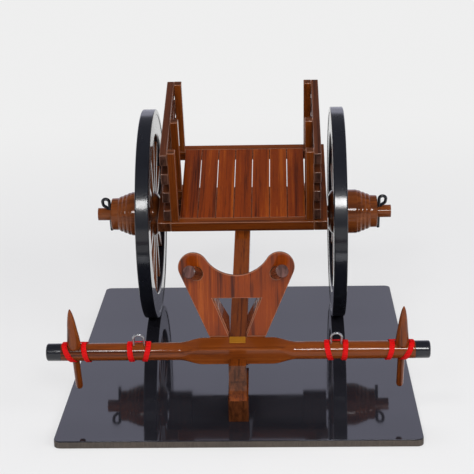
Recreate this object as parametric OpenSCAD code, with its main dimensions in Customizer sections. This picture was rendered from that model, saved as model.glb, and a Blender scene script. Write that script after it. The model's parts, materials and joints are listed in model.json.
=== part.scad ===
// Wooden model of a two-wheeled bullock cart on a black plinth, parked with its
// yoke down: the foot under the pole's front end rests on the plinth.
// Origin: centre of the plinth's underside. +Z up, the yoke points to -Y.
// The cart is drawn level about its axle's centre, then tipped by park_angle.

/* [Plinth] */
// Width of the plinth
plinth_w = 305; // [280:1:380]
// Length of the plinth
plinth_l = 380; // [370:1:460]
// Thickness of the plinth's wooden board
board_h = 5.5; // [3:0.5:12]
// Thickness of the black sheet on the board
sheet_h = 1; // [0.6:0.2:2]
// Radius of the plinth's upright corners
plinth_corner_r = 6; // [2:0.5:15]
// Distance of the axle behind the plinth's middle
axle_back = 115.5; // [100:0.5:130]

/* [Wheels] */
// Outer radius of a wheel
wheel_r = 105; // [88:0.5:126]
// Width of the tyre
tyre_w = 13; // [10:0.5:16]
// Radial thickness of the tyre
tyre_t = 5; // [3:0.5:8]
// Bevel on the tyre's outer edges
tyre_bevel = 1; // [0.4:0.1:1.5]
// Radial depth of the felloe, the wooden ring inside the tyre
felloe_t = 20; // [12:0.5:26]
// Width of the felloe
felloe_w = 12; // [8:0.5:13]
// Distance between the wheels' middle planes
wheel_track = 186; // [184:1:200]
// Clearance between wheel and plinth
wheel_gap = 0.3; // [0.2:0.1:0.6]
// Number of spokes
spoke_count = 12; // [6:1:16]
// Width of a spoke at the hub
spoke_w = 8; // [5:0.5:9]
// Width of a spoke at the felloe
spoke_tip_w = 6.5; // [5:0.5:9]
// Thickness of a spoke along the axle
spoke_t = 7; // [4:0.5:9]

/* [Hubs and axle] */
// Radius of the hub where the spokes enter
hub_r = 22; // [18:0.5:24]
// Radius of the hub's outer nose
hub_nose_r = 16; // [11:0.5:17]
// Length of the hub's cylindrical nose
hub_nose_l = 6.5; // [4:0.5:10]
// Length of the hub's turned slope behind the nose
hub_slope_l = 14; // [10:0.5:18]
// Distance of the hub's inner end from the cart's middle plane
hub_in = 84; // [82.5:0.5:86]
// Distance of the hub's outer face from the cart's middle plane
hub_out = 133; // [128:0.5:150]
// Radius of the axle stubs
axle_r = 6.3; // [4.5:0.1:7.5]
// Distance of the stubs' outer ends from the cart's middle plane
axle_end = 147; // [144:0.5:165]
// Depth of the stubs' seats in the axle beam
stub_seat = 16; // [8:1:24]
// Radial clearance of the hub on the stub
running_fit = 0.06; // [0.02:0.01:0.1]
// Radial clearance of fixed pins in their holes
pin_fit = 0.05; // [0.02:0.01:0.1]
// Radius of the linchpins' bent rod
linchpin_r = 1.6; // [0.9:0.1:1.8]
// Radius to the middle of the rod in the linchpin's eye
linchpin_eye_r = 3.3; // [2.8:0.1:4.5]
// Straight length of the linchpin's eye
linchpin_eye_l = 4; // [2:0.5:8]
// Length of linchpin that shows below the stub
linchpin_tail = 13.5; // [6:0.5:16]
// Gap between hub face and linchpin
linchpin_gap = 0.4; // [0.3:0.1:1]
// Gap between the linchpin's eye and the stub
eye_gap = 0.2; // [0.1:0.1:1]

/* [Bed] */
// Overall width of the bed
bed_w = 164; // [140:1:165]
// Reach of the bed ahead of the axle
bed_front = 58; // [48:1:75]
// Reach of the bed behind the axle
bed_rear = 75; // [62:1:95]
// Height of the bed's top above the axle
bed_top = 31.5; // [28:0.5:40]
// Height of the bed's beams
beam_h = 10.5; // [8:0.5:14]
// Width of the side beams
side_beam_w = 13; // [10:0.5:16]
// Depth of the cross beams
cross_beam_d = 12; // [9:0.5:16]
// Thickness of the floor planks
plank_t = 4; // [2.5:0.5:5]
// Number of floor planks
plank_count = 7; // [4:1:10]
// Gap between floor planks
plank_gap = 0.6; // [0.4:0.1:1.2]
// Reach of the planks over the cross beams
plank_rest = 4; // [2:0.5:4.5]
// Side of the square posts
post_s = 7.5; // [5:0.5:9]
// Height of the posts above the bed
post_h = 79; // [60:1:100]
// Number of rails on each side
rail_count = 4; // [2:1:5]
// Thickness of a rail
rail_t = 7; // [4:0.5:10]
// Height of a rail
rail_h = 12; // [8:0.5:14]
// Distance between the tops of neighbouring rails
rail_pitch = 21.3; // [16:0.1:24]
// Distance of the top rail below the posts' tops
rail_drop = 1; // [0.5:0.5:6]
// Reach of the rails past the end posts
rail_over = 1.5; // [0.5:0.5:6]

/* [Axle beam] */
// Depth of the axle beam, front to rear
axle_beam_d = 16; // [12:1:24]
// Reach of the axle beam below the axle
axle_beam_low = 10.5; // [8:0.5:14]
// Width of the bolsters that carry the side beams
bolster_w = 24; // [18:1:30]
// Depth of the bolsters, front to rear
bolster_d = 28; // [20:1:40]
// Reach of the bolsters below the axle
bolster_low = 15; // [12:0.5:20]
// Chamfer under the bolsters' ends, front and rear
bolster_chamfer = 5; // [2:0.5:7]

/* [Pole] */
// Width of the pole
pole_w = 14.6; // [11:0.1:18]
// Depth of the pole
pole_d = 15.8; // [12:0.1:18]
// Reach of the pole's top edge ahead of the axle
pole_nose = 280; // [260:1:300]
// Height of the pole's top above the axle at its nose
pole_nose_top = 51; // [42:0.5:60]
// Reach of the foot's toe ahead of the axle
toe_reach = 289; // [270:1:300]
// Height of the toe's tip above the axle, before the cart is tipped
toe_tip = -4.7; // [-15:0.1:5]
// Height of the flat end of the toe
toe_h = 24; // [16:0.5:30]
// Length of the foot's sole
sole_l = 22; // [16:0.5:28]
// Width of the foot
foot_w = 16.8; // [14:0.1:22]
// Radius of the hollow in front of the neck
neck_front_r = 20; // [16:0.5:40]
// Radius of the hollow behind the neck
neck_rear_r = 32; // [24:0.5:40]
// Height of the heel's upright face
sole_rise = 2; // [1:0.5:6]

/* [Yoke] */
// Overall length of the yoke
yoke_l = 320; // [270:1:384]
// Reach of the yoke's axis ahead of the axle
yoke_reach = 262.5; // [240:0.5:275]
// Height of the yoke's axis above the axle
yoke_z = 52; // [48:0.5:58]
// Radius of the yoke's round arms
yoke_r = 7.4; // [6:0.1:8]
// Length of the yoke's square middle
yoke_mid_l = 66; // [50:1:90]
// Height of the yoke's square middle
yoke_mid_h = 16.4; // [15:0.1:20]
// Depth of the yoke's square middle
yoke_mid_d = 15.4; // [14.9:0.1:19]
// Length of the taper between middle and arms
yoke_taper_l = 14; // [6:1:24]
// Length of the black end caps
cap_l = 12.5; // [8:0.5:16]
// Rounding of the caps' ends
cap_round = 1.5; // [0.5:0.1:3]
// Distance of the long pins from the yoke's middle
pin_x = 136.4; // [110:0.1:142]
// Radius of the long pins' lower stems
pin_r = 3; // [2.2:0.1:4]
// Length of stem below the yoke's axis
pin_low = 41; // [30:1:50]
// Radius of the spear head above the yoke
pin_head_r = 5.6; // [4:0.1:7]
// Length of the spear head
pin_head_l = 41; // [30:1:55]
// Distance of the rein loops from the yoke's middle
loop_x = 82; // [70:0.5:100]
// Radius of the rein loops' wire
loop_wire_r = 1; // [0.6:0.1:1.4]
// Radius to the middle of the wire in a rein loop
loop_r = 4.4; // [3.5:0.1:6]
// Height of the rein loops above the yoke
loop_h = 12.2; // [8:0.2:18]
// Depth of the rein loops' legs in the yoke
loop_seat = 5; // [3:0.5:6]
// Width of one turn of the red tie
tie_w = 3.2; // [2:0.1:5]
// Thickness of the red tie
tie_t = 1.1; // [0.6:0.1:2]
// Gap between a tie and the pin or wire beside it
tie_gap = 0.4; // [0.2:0.1:1]
// Width of the brass strap on the yoke
strap_w = 13.4; // [10:0.2:18]
// Depth of the brass strap
strap_d = 7.6; // [5:0.2:9]
// Thickness of the brass strap
strap_t = 0.8; // [0.5:0.1:1.5]

/* [Front board] */
// Thickness of the front board
front_board_t = 4.2; // [3:0.1:6]
// Lean of the front board from upright, top to the rear
front_board_lean = 24; // [18:1:28]
// Gap between the board's lower edge and the yoke's top
front_board_gap = 0.8; // [0.3:0.1:2]
// Half width of the board at its lower edge
leg_out = 23.8; // [20:0.2:28]
// Outward slope of the board's outer edges
leg_slope = 0.43; // [0.3:0.01:0.5]
// Radius of the board's two horns
horn_r = 12.5; // [10:0.5:14]
// Height of the horns' centres above the board's lower edge
horn_h = 59.5; // [50:0.5:68]
// Height of the moon's lowest point above the board's lower edge
moon_h = 52.5; // [42:0.5:56]
// Height of the hole's top above the board's lower edge
hole_h = 33; // [22:0.5:36]
// Half width of the hole at its top
hole_half = 20.4; // [15:0.2:23]
// Half width of the hole at the board's lower edge
hole_low_half = 7.4; // [5:0.1:8]
// Gap between the cheeks' front faces and the yoke
cheek_gap = 0.3; // [0.2:0.1:1]
// Depth of the cheeks, front to rear
cheek_d = 26; // [20:1:36]
// Depth of the cheeks' tips below the yoke's axis
cheek_low = 33; // [22:0.5:36]
// Clearance between cheeks and pole
cheek_fit = 0.1; // [0.05:0.05:0.3]
// Radius of the pegs through the horns
peg_r = 5.4; // [4:0.1:6.5]
// Length of peg in front of the board
peg_l = 20; // [12:0.5:26]
// Length of peg behind the board
peg_tail = 3; // [1:0.5:6]
// Distance of the pegs from the board's middle
peg_x = 33.5; // [28:0.5:38]
// Height of the pegs above the board's lower edge
peg_h = 54.5; // [46:0.5:62]
// Upward slant of the pegs, before the cart is tipped
peg_pitch = 42; // [24:1:50]
// Outward slant of the pegs
peg_splay = 18; // [0:1:25]

/* [Hidden] */
$fn = 64;
eps = 0.01;
left = -1;
right = 1;
wood = [0.55, 0.27, 0.12];
dark_wood = [0.36, 0.18, 0.10];
black = [0.05, 0.05, 0.06];

plinth_h = board_h + sheet_h;
axle_z = plinth_h + wheel_gap + wheel_r;

// The cart tips until the toe's tip meets the plinth.
park_angle = asin((wheel_r + wheel_gap) / norm([toe_reach, toe_tip])) + atan2(toe_tip, toe_reach);
heel = [toe_reach - sole_l * cos(park_angle), toe_tip - sole_l * sin(park_angle)];

bed_low = bed_top - beam_h;
inner_half = bed_w / 2 - side_beam_w;          // inner faces of the side beams
post_fit = 0.6;                                // gap between posts and side beams
plank_fit = 0.4;                               // gap between posts and planks
post_x = inner_half - post_s / 2 - post_fit;   // middle of the posts
rail_in = post_x + post_s / 2;                 // inner faces of the rails
post_rows = [-bed_front + cross_beam_d / 2, 0, bed_rear - cross_beam_d / 2];
plank_half = post_x - post_s / 2 - plank_fit;  // half width of the planked floor
plank_y = [-bed_front + cross_beam_d - plank_rest, bed_rear - cross_beam_d + plank_rest];
bolster_in = bed_w / 2 - bolster_w;
rebate_fit = 0.1;                              // clearance at the ends of the cross beams' rebates
linchpin_x = hub_out + linchpin_gap + linchpin_r;

felloe_out = wheel_r - tyre_t;
felloe_in = felloe_out - felloe_t;

// Under the bed the pole is level; from the bed's front it rises to its nose.
pole_angle = atan2(pole_nose_top - bed_low, pole_nose - bed_front);
yoke_mid_low = yoke_z - yoke_mid_h / 2;
yoke_mid_top = yoke_z + yoke_mid_h / 2;
pin_seat = 0.84 * yoke_r;                      // seats of the spear heads above the yoke's axis

// The front board's lower edge lies behind the yoke's top, and the cheeks behind its rear face.
cheek_front = yoke_reach - yoke_mid_d / 2 - cheek_gap;
board_foot = [-cheek_front, yoke_mid_top + front_board_gap];
horn_x = leg_out + leg_slope * horn_h - horn_r * sqrt(1 + leg_slope * leg_slope);
hole_slope = (hole_half - hole_low_half) / hole_h;
moon_dip = moon_h - horn_h;
moon_r = (horn_x * horn_x + moon_dip * moon_dip - horn_r * horn_r) / (2 * (horn_r - moon_dip));

// Turns the level cart, drawn about its axle, into its parked place.
module parked() {
    translate([0, axle_back, axle_z]) rotate([park_angle, 0, 0]) children();
}

// A rod along X from x0 to x1.
module x_rod(r, x0, x1) {
    translate([x0, 0, 0]) rotate([0, 90, 0]) cylinder(r = r, h = x1 - x0);
}

// An outline of [reach ahead of the axle, height] points, extruded across the cart.
module side_slab(w) {
    rotate([90, 0, -90]) linear_extrude(height = w, center = true) children();
}

// A lathe profile of [radius, x] points, turned about X.
module x_turned(points) {
    rotate([0, 90, 0]) rotate_extrude($fn = 96) polygon(points);
}

// ---- Plinth ----

module plinth_outline() {
    square([plinth_w - 2 * plinth_corner_r, plinth_l], center = true);
    square([plinth_w, plinth_l - 2 * plinth_corner_r], center = true);
    for (x = [-1, 1], y = [-1, 1])
        translate([x * (plinth_w / 2 - plinth_corner_r), y * (plinth_l / 2 - plinth_corner_r)])
            circle(r = plinth_corner_r);
}

module plinth_board() {
    color([0.45, 0.40, 0.36]) linear_extrude(height = board_h) plinth_outline();
}

module plinth_top() {
    color(black) translate([0, 0, board_h]) linear_extrude(height = sheet_h) plinth_outline();
}

// ---- Pole ----

module pole_outline() {
    under = bed_low - pole_d;
    polygon([[-bed_rear, under], [bed_front + pole_d * tan(pole_angle / 2), under],
             [pole_nose + pole_d * sin(pole_angle), pole_nose_top - pole_d * cos(pole_angle)],
             [pole_nose, pole_nose_top], [bed_front, bed_low], [-bed_rear, bed_low]]);
}

// The neck and foot: the neck is cut to a deep round hollow behind and a shallow one in front.
module foot_outline() {
    neck = heel[0] - neck_rear_r;
    toe_top = toe_tip + toe_h;
    nose_low = pole_nose_top - pole_d;
    // the front hollow runs from the toe's top edge to the nose's lower edge
    dip = [(toe_reach + pole_nose) / 2, (toe_top + nose_low) / 2];
    half = norm([toe_reach - pole_nose, nose_low - toe_top]) / 2;
    middle = dip + sqrt(neck_front_r * neck_front_r - half * half)
                   * [nose_low - toe_top, toe_reach - pole_nose] / (2 * half);
    difference() {
        polygon([[neck, nose_low], [pole_nose - pole_d, pole_nose_top - pole_d / 2],
                 [pole_nose, pole_nose_top - pole_d / 2], [pole_nose, nose_low], [toe_reach, toe_top],
                 [toe_reach, toe_tip], heel, [neck, heel[1]]]);
        translate(middle) circle(r = neck_front_r);
        translate([neck, heel[1] + sole_rise]) circle(r = neck_rear_r);
    }
}

module pole() {
    color(wood) parked() {
        side_slab(pole_w) {
            pole_outline();
            foot_outline();
        }
        side_slab(foot_w) intersection() {
            foot_outline();
            translate([0, -wheel_r]) square([2 * toe_reach, wheel_r + toe_tip + toe_h]);
        }
    }
}

// ---- Front board, cheeks and pegs ----

// Half of the board's outline to the right of its middle, [x, height along the board].
// The moon-shaped cut is a circle that meets the round horn smoothly.
module board_half() {
    slant = norm([1, leg_slope]);
    horn = [horn_x, horn_h];
    difference() {
        union() {
            polygon([[-eps, 0], [leg_out, 0], horn + horn_r * [1, -leg_slope] / slant, horn,
                     [0, moon_h + moon_r], [-eps, moon_h + moon_r]]);
            translate(horn) circle(r = horn_r);
        }
        translate([0, moon_h + moon_r]) circle(r = moon_r, $fn = 96);
        polygon([[-1, -1], [hole_low_half, -1], [hole_low_half, 0], [hole_half, hole_h], [-1, hole_h]]);
    }
}

// Puts a plate, drawn upright in its own plane with its front at z = 0, on the leaning board.
module on_board() {
    translate([0, board_foot[0], board_foot[1]]) rotate([90 - front_board_lean, 0, 0]) children();
}

// A peg's cylinder through the board; grow adds to its radius.
module peg_rod(side, grow) {
    behind = front_board_t / cos(peg_pitch - front_board_lean) / cos(peg_splay) + peg_tail;
    translate([side * peg_x, board_foot[0] + peg_h * sin(front_board_lean),
               board_foot[1] + peg_h * cos(front_board_lean)])
        rotate([90 - peg_pitch, 0, side * peg_splay])
            translate([0, 0, -behind]) cylinder(r = peg_r + grow, h = behind + peg_l);
}

module front_board() {
    color(wood) parked() difference() {
        on_board() translate([0, 0, -front_board_t]) linear_extrude(height = front_board_t) {
            board_half();
            mirror([1, 0]) board_half();
        }
        for (side = [left, right]) peg_rod(side, pin_fit);
    }
}

module board_peg(side) {
    color(dark_wood) parked() peg_rod(side, 0);
}

// One leg behind the yoke: it flanks the pole and backs the board up to the hole's top.
module cheek(side) {
    inner = pole_w / 2 + cheek_fit;
    tip = board_foot[1] - (leg_out - inner) / leg_slope * cos(front_board_lean);
    low = max(yoke_z - cheek_low, tip);
    top = board_foot[1] + hole_h * cos(front_board_lean);
    low_out = leg_out - (board_foot[1] - low) / cos(front_board_lean) * leg_slope;
    color(wood) parked() difference() {
        translate([0, -cheek_front + cheek_d, 0]) rotate([90, 0, 0])
            linear_extrude(height = cheek_d)
                mirror([side == left ? 1 : 0, 0])
                    polygon([[inner, low], [low_out, low], [leg_out + leg_slope * hole_h, top],
                             [hole_half, top], [hole_low_half, board_foot[1]],
                             [inner, board_foot[1] - 1]]);
        on_board() translate([-wheel_r, 0, -front_board_t])
            cube([2 * wheel_r, 2 * wheel_r, 2 * wheel_r]);
    }
}

// ---- Yoke ----

// Moves to the yoke's axis at x.
module at_yoke(x) {
    translate([x, -yoke_reach, yoke_z]) children();
}

// The middle's outline, tapered to the arms; size is its height or depth.
module yoke_middle(size) {
    half = yoke_mid_l / 2;
    out = half + yoke_taper_l;
    polygon([[-half, -size / 2], [half, -size / 2], [out, -yoke_r / 2], [out, yoke_r / 2],
             [half, size / 2], [-half, size / 2], [-out, yoke_r / 2], [-out, -yoke_r / 2]]);
}

module yoke_beam() {
    arm = yoke_l / 2 - cap_l;
    color(wood) parked() difference() {
        at_yoke(0) {
            x_rod(yoke_r, -arm, arm);
            intersection() {
                translate([0, yoke_mid_d, 0]) rotate([90, 0, 0])
                    linear_extrude(height = 2 * yoke_mid_d) yoke_middle(yoke_mid_h);
                translate([0, 0, -yoke_mid_h])
                    linear_extrude(height = 2 * yoke_mid_h) yoke_middle(yoke_mid_d);
            }
        }
        side_slab(pole_w + 2 * cheek_fit) pole_outline();
        for (side = [left, right]) {
            at_yoke(side * pin_x) {
                translate([0, 0, -yoke_r - 1]) cylinder(r = pin_r + pin_fit, h = 2 * yoke_r + 2);
                translate([0, 0, pin_seat]) cylinder(r = pin_head_r + pin_fit, h = yoke_r);
            }
            for (leg = [-loop_r, loop_r]) at_yoke(side * loop_x + leg)
                translate([0, 0, yoke_r - loop_seat]) cylinder(r = loop_wire_r + pin_fit, h = yoke_r);
        }
    }
}

module yoke_cap(side) {
    color(black) parked() at_yoke(side * (yoke_l / 2 - cap_l)) rotate([0, side * 90, 0])
        rotate_extrude() {
            square([yoke_r - cap_round, cap_l]);
            square([yoke_r, cap_l - cap_round]);
            intersection() {
                translate([yoke_r - cap_round, cap_l - cap_round]) circle(r = cap_round);
                square([yoke_r, cap_l]);
            }
        }
}

// A round stem through the yoke with a long spear head seated on top.
module yoke_pin(side) {
    // columns: share of the head's radius, share of its length
    head = [[1, 0], [1, 0.05], [0.94, 0.2], [0.76, 0.43], [0.6, 0.65], [0.34, 0.88], [0.12, 0.98], [0, 1]];
    color(wood) parked() at_yoke(side * pin_x) rotate_extrude()
        polygon(concat([[0, -pin_low], [0.6 * pin_r, -pin_low], [pin_r, pin_r / 2 - pin_low], [pin_r, pin_seat]],
                       [for (p = head) [p[0] * pin_head_r, pin_seat + p[1] * pin_head_l]]));
}

// A wire bow with its two legs let into the yoke.
module rein_loop(side) {
    bow = yoke_r + loop_h - loop_r - loop_wire_r;
    color("silver") parked() at_yoke(side * loop_x) {
        translate([0, 0, bow]) rotate([90, 0, 0]) rotate_extrude(angle = 180)
            translate([loop_r, 0]) circle(r = loop_wire_r, $fn = 24);
        for (leg = [-loop_r, loop_r]) translate([leg, 0, yoke_r - loop_seat])
            cylinder(r = loop_wire_r, h = bow - yoke_r + loop_seat, $fn = 24);
    }
}

// Turns of tape round the yoke, one on each side of the pin and of the rein loop.
module yoke_ties(side) {
    beside_pin = pin_head_r + tie_gap + tie_w / 2;
    beside_loop = loop_r + loop_wire_r + tie_gap + tie_w / 2;
    turns = [pin_x - beside_pin, pin_x + beside_pin, loop_x - beside_loop, loop_x + beside_loop];
    inner = yoke_r + pin_fit;
    color("red") parked() for (x = turns) at_yoke(side * x)
        x_turned([[inner, -tie_w / 2], [inner + tie_t, -tie_w / 2],
                  [inner + tie_t, tie_w / 2], [inner, tie_w / 2]]);
}

module yoke_strap() {
    color("goldenrod") parked() at_yoke(0)
        translate([-strap_w / 2, yoke_mid_d / 2 - strap_d, yoke_mid_h / 2])
            cube([strap_w, strap_d, strap_t]);
}

// ---- Bed ----

function span(middle, size) = [middle - size / 2, middle + size / 2];

// A block that spans x and y ranges and stands between two heights.
module block(x, y, z) {
    translate([x[0], y[0], z[0]]) cube([x[1] - x[0], y[1] - y[0], z[1] - z[0]]);
}

module side_beam(side) {
    x = side == right ? [inner_half, bed_w / 2] : [-bed_w / 2, -inner_half];
    color(wood) parked() block(x, [-bed_front, bed_rear], [bed_low, bed_top]);
}

// The cross beam of one post row, cut down where the planks lie on it.
module cross_beam(row) {
    color(wood) parked() difference() {
        block([-inner_half, inner_half], span(row, cross_beam_d), [bed_low, bed_top]);
        block(span(0, 2 * (plank_half + rebate_fit)), plank_y, [bed_top - plank_t, bed_top + 1]);
    }
}

module floor_planks() {
    pitch = (2 * plank_half + plank_gap) / plank_count;
    color(wood) parked() for (i = [0 : plank_count - 1])
        block(span(-plank_half + (i + 0.5) * pitch - plank_gap / 2, pitch - plank_gap), plank_y,
              [bed_top - plank_t, bed_top]);
}

module posts(side) {
    color(wood) parked() for (row = post_rows)
        translate([side * post_x, row, bed_top + post_h / 2])
            cube([post_s, post_s, post_h], center = true);
}

module rails(side) {
    front = post_rows[0] - post_s / 2 - rail_over;
    rear = post_rows[2] + post_s / 2 + rail_over;
    color(dark_wood) parked() for (i = [0 : rail_count - 1])
        translate([side * (rail_in + rail_t / 2), (front + rear) / 2,
                   bed_top + post_h - rail_drop - rail_h / 2 - i * rail_pitch])
            cube([rail_t, rear - front, rail_h], center = true);
}

// ---- Axle ----

module axle_beam() {
    color(dark_wood) parked() difference() {
        block([-bolster_in, bolster_in], span(0, axle_beam_d), [-axle_beam_low, bed_low]);
        block([-pole_w / 2 - cheek_fit, pole_w / 2 + cheek_fit], [-bed_rear, bed_front],
              [bed_low - pole_d, bed_low + 1]);
        for (side = [left, right]) stub(side, pin_fit, bolster_in + 1);
    }
}

// An axle stub's cylinder up to x; grow adds to its radius.
module stub(side, grow, x) {
    mirror([side == left ? 1 : 0, 0, 0]) x_rod(axle_r + grow, bolster_in - stub_seat, x);
}

module bolster(side) {
    half = bolster_d / 2;
    color(dark_wood) parked() difference() {
        translate([side * (bed_w - bolster_w) / 2, 0, 0]) side_slab(bolster_w)
            polygon([[-half, bed_low], [half, bed_low], [half, bolster_chamfer - bolster_low],
                     [half - bolster_chamfer, -bolster_low], [bolster_chamfer - half, -bolster_low],
                     [-half, bolster_chamfer - bolster_low]]);
        stub(side, pin_fit, bed_w / 2 + 1);
    }
}

module axle(side) {
    color(wood) parked() difference() {
        stub(side, 0, axle_end);
        translate([side * linchpin_x, 0, -axle_r - 1])
            cylinder(r = linchpin_r + pin_fit, h = 2 * axle_r + 2);
    }
}

// A rod through the stub, bent into a long eye above it.
module linchpin(side) {
    eye_low = axle_r + linchpin_r + linchpin_eye_r + eye_gap;
    color(black) parked() mirror([side == left ? 1 : 0, 0, 0])
        translate([linchpin_x + linchpin_eye_r, 0, 0]) {
            for (end = [[eye_low, 180], [eye_low + linchpin_eye_l, 0]])
                translate([0, 0, end[0]]) rotate([90, end[1], 0]) rotate_extrude(angle = 180)
                    translate([linchpin_eye_r, 0]) circle(r = linchpin_r, $fn = 24);
            translate([linchpin_eye_r, 0, eye_low]) cylinder(r = linchpin_r, h = linchpin_eye_l, $fn = 24);
            translate([-linchpin_eye_r, 0, -axle_r - linchpin_tail])
                cylinder(r = linchpin_r, h = axle_r + linchpin_tail + eye_low + linchpin_eye_l, $fn = 24);
        }
}

// ---- Wheels ----

// A ring about X, centred on a wheel's middle plane, with bevelled outer edges.
module wheel_ring(side, inner, outer, width, bevel) {
    half = width / 2;
    parked() translate([side * wheel_track / 2, 0, 0])
        x_turned([[inner, -half], [outer - bevel, -half], [outer, bevel - half],
                  [outer, half - bevel], [outer - bevel, half], [inner, half]]);
}

module tyre(side) {
    color(black) wheel_ring(side, felloe_out, wheel_r, tyre_w, tyre_bevel);
}

module felloe(side) {
    color(black) wheel_ring(side, felloe_in, felloe_out, felloe_w, 0);
}

// Tapered bars cut to the hub's and the felloe's radii.
module spokes(side) {
    color(wood) parked() translate([side * wheel_track / 2 - spoke_t / 2, 0, 0])
        rotate([90, 0, 90]) linear_extrude(height = spoke_t) difference() {
            intersection() {
                for (i = [0 : spoke_count - 1]) rotate(i * 360 / spoke_count)
                    polygon([[0, -spoke_w / 2], [wheel_r, -spoke_tip_w / 2],
                             [wheel_r, spoke_tip_w / 2], [0, spoke_w / 2]]);
                circle(r = felloe_in, $fn = 96);
            }
            circle(r = hub_r, $fn = 96);
        }
}

module hub(side) {
    bore = axle_r + running_fit;
    nose = hub_out - hub_nose_l;
    drop = hub_r - hub_nose_r;
    // columns: share of the slope's length, share of the drop to the nose
    slope = [[0, 0], [0.1, 0.06], [0.1, 0.16], [0.35, 0.26], [0.6, 0.52], [0.82, 0.82], [0.82, 0.96], [1, 1]];
    round_off = 0.8;                           // bevel of the hub's outer face
    // columns: depth below hub_r, distance from the inner end
    inner = [[5, 0], [3.5, 1], [0, 3]];
    color(wood) parked() mirror([side == left ? 1 : 0, 0, 0])
        x_turned(concat([[bore, hub_in]], [for (p = inner) [hub_r - p[0], hub_in + p[1]]],
                        [for (p = slope) [hub_r - p[1] * drop, nose - (1 - p[0]) * hub_slope_l]],
                        [[hub_nose_r, hub_out - round_off], [hub_nose_r - round_off, hub_out],
                         [bore, hub_out]]));
}

plinth_board();
plinth_top();
pole();
cheek(left);  // cheek_left
cheek(right);  // cheek_right
front_board();
board_peg(left);  // board_peg_left
board_peg(right);  // board_peg_right
yoke_beam();
yoke_cap(left);  // yoke_cap_left
yoke_cap(right);  // yoke_cap_right
yoke_pin(left);  // yoke_pin_left
yoke_pin(right);  // yoke_pin_right
rein_loop(left);  // rein_loop_left
rein_loop(right);  // rein_loop_right
yoke_strap();
yoke_ties(left);  // yoke_ties_left
yoke_ties(right);  // yoke_ties_right
side_beam(left);  // side_beam_left
side_beam(right);  // side_beam_right
cross_beam(post_rows[0]);  // front_cross_beam
cross_beam(post_rows[2]);  // rear_cross_beam
cross_beam(post_rows[1]);  // bed_bearer
floor_planks();
posts(left);  // posts_left
posts(right);  // posts_right
rails(left);  // rails_left
rails(right);  // rails_right
axle_beam();
bolster(left);  // bolster_left
bolster(right);  // bolster_right
axle(left);  // axle_left
axle(right);  // axle_right
linchpin(left);  // linchpin_left
linchpin(right);  // linchpin_right
tyre(left);  // tyre_left
tyre(right);  // tyre_right
felloe(left);  // felloe_left
felloe(right);  // felloe_right
spokes(left);  // spokes_left
spokes(right);  // spokes_right
hub(left);  // hub_left
hub(right);  // hub_right
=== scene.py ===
"""Looks of the wooden bullock cart model: lacquered wood, black enamel and a mirror-black plinth."""

import json
import math
import random

import bmesh
import bpy
from mathutils import Matrix, Vector


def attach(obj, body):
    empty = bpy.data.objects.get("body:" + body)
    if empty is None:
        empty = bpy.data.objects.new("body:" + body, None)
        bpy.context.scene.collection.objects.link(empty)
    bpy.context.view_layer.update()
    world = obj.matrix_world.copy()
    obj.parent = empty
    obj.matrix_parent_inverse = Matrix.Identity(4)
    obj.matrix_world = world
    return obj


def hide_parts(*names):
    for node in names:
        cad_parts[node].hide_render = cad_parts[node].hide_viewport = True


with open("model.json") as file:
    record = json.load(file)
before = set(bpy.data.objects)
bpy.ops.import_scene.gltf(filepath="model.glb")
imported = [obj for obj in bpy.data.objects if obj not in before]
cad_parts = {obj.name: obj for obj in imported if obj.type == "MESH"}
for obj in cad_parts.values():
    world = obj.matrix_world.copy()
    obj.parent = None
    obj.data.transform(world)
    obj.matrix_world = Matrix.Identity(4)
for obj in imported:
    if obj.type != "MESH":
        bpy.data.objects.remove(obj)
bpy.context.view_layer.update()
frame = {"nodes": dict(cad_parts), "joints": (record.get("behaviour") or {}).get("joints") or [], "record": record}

# ---- The level cart frame: the cart drawn level about its axle, as in the part's source ----

MM = 0.001
SIDES = {"left": -1, "right": 1}
MOUNTS = {m["name"]: m for m in frame["record"]["mounts"]}
bed_up = Vector(MOUNTS["bed_surface"]["axis"])
PARK_ANGLE = math.atan2(-bed_up.y, bed_up.z)
_, axle_y, axle_z = frame["joints"][0]["pos_m"]
LEVEL_TO_PARKED = Matrix.Translation((0, axle_y, axle_z)) @ Matrix.Rotation(PARK_ANGLE, 4, "X")
PARKED_TO_LEVEL = LEVEL_TO_PARKED.inverted()
AS_IT_IS = Matrix.Identity(4)               # for the plinth, which is level as it stands


def level_points(node):
    return [PARKED_TO_LEVEL @ v.co for v in frame["nodes"][node].data.vertices]


def level_box(node):
    """Lowest and highest corner of a CAD node in the level cart frame."""
    points = level_points(node)
    low = Vector(min(p[i] for p in points) for i in range(3))
    high = Vector(max(p[i] for p in points) for i in range(3))
    return low, high


# ---- Mesh helpers ----

def loose_parts(bm):
    """The part number of every vertex, in the order of bm.verts, and how many parts there are."""
    bm.verts.index_update()
    number = [-1] * len(bm.verts)
    count = 0
    for start in bm.verts:
        if number[start.index] >= 0:
            continue
        stack = [start]
        number[start.index] = count
        while stack:
            for edge in stack.pop().link_edges:
                for vert in edge.verts:
                    if number[vert.index] < 0:
                        number[vert.index] = count
                        stack.append(vert)
        count += 1
    return number, count


def store(me, name, kind, domain, values):
    layer = me.attributes.new(name, kind, domain)
    layer.data.foreach_set("vector" if kind == "FLOAT_VECTOR" else "value", values)


def grain_basis(axis):
    along = Vector(axis).normalized()
    helper = Vector((0, 0, 1)) if abs(along.z) < 0.8 else Vector((1, 0, 0))
    across = along.cross(helper).normalized()
    return along, across, along.cross(across)


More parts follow.
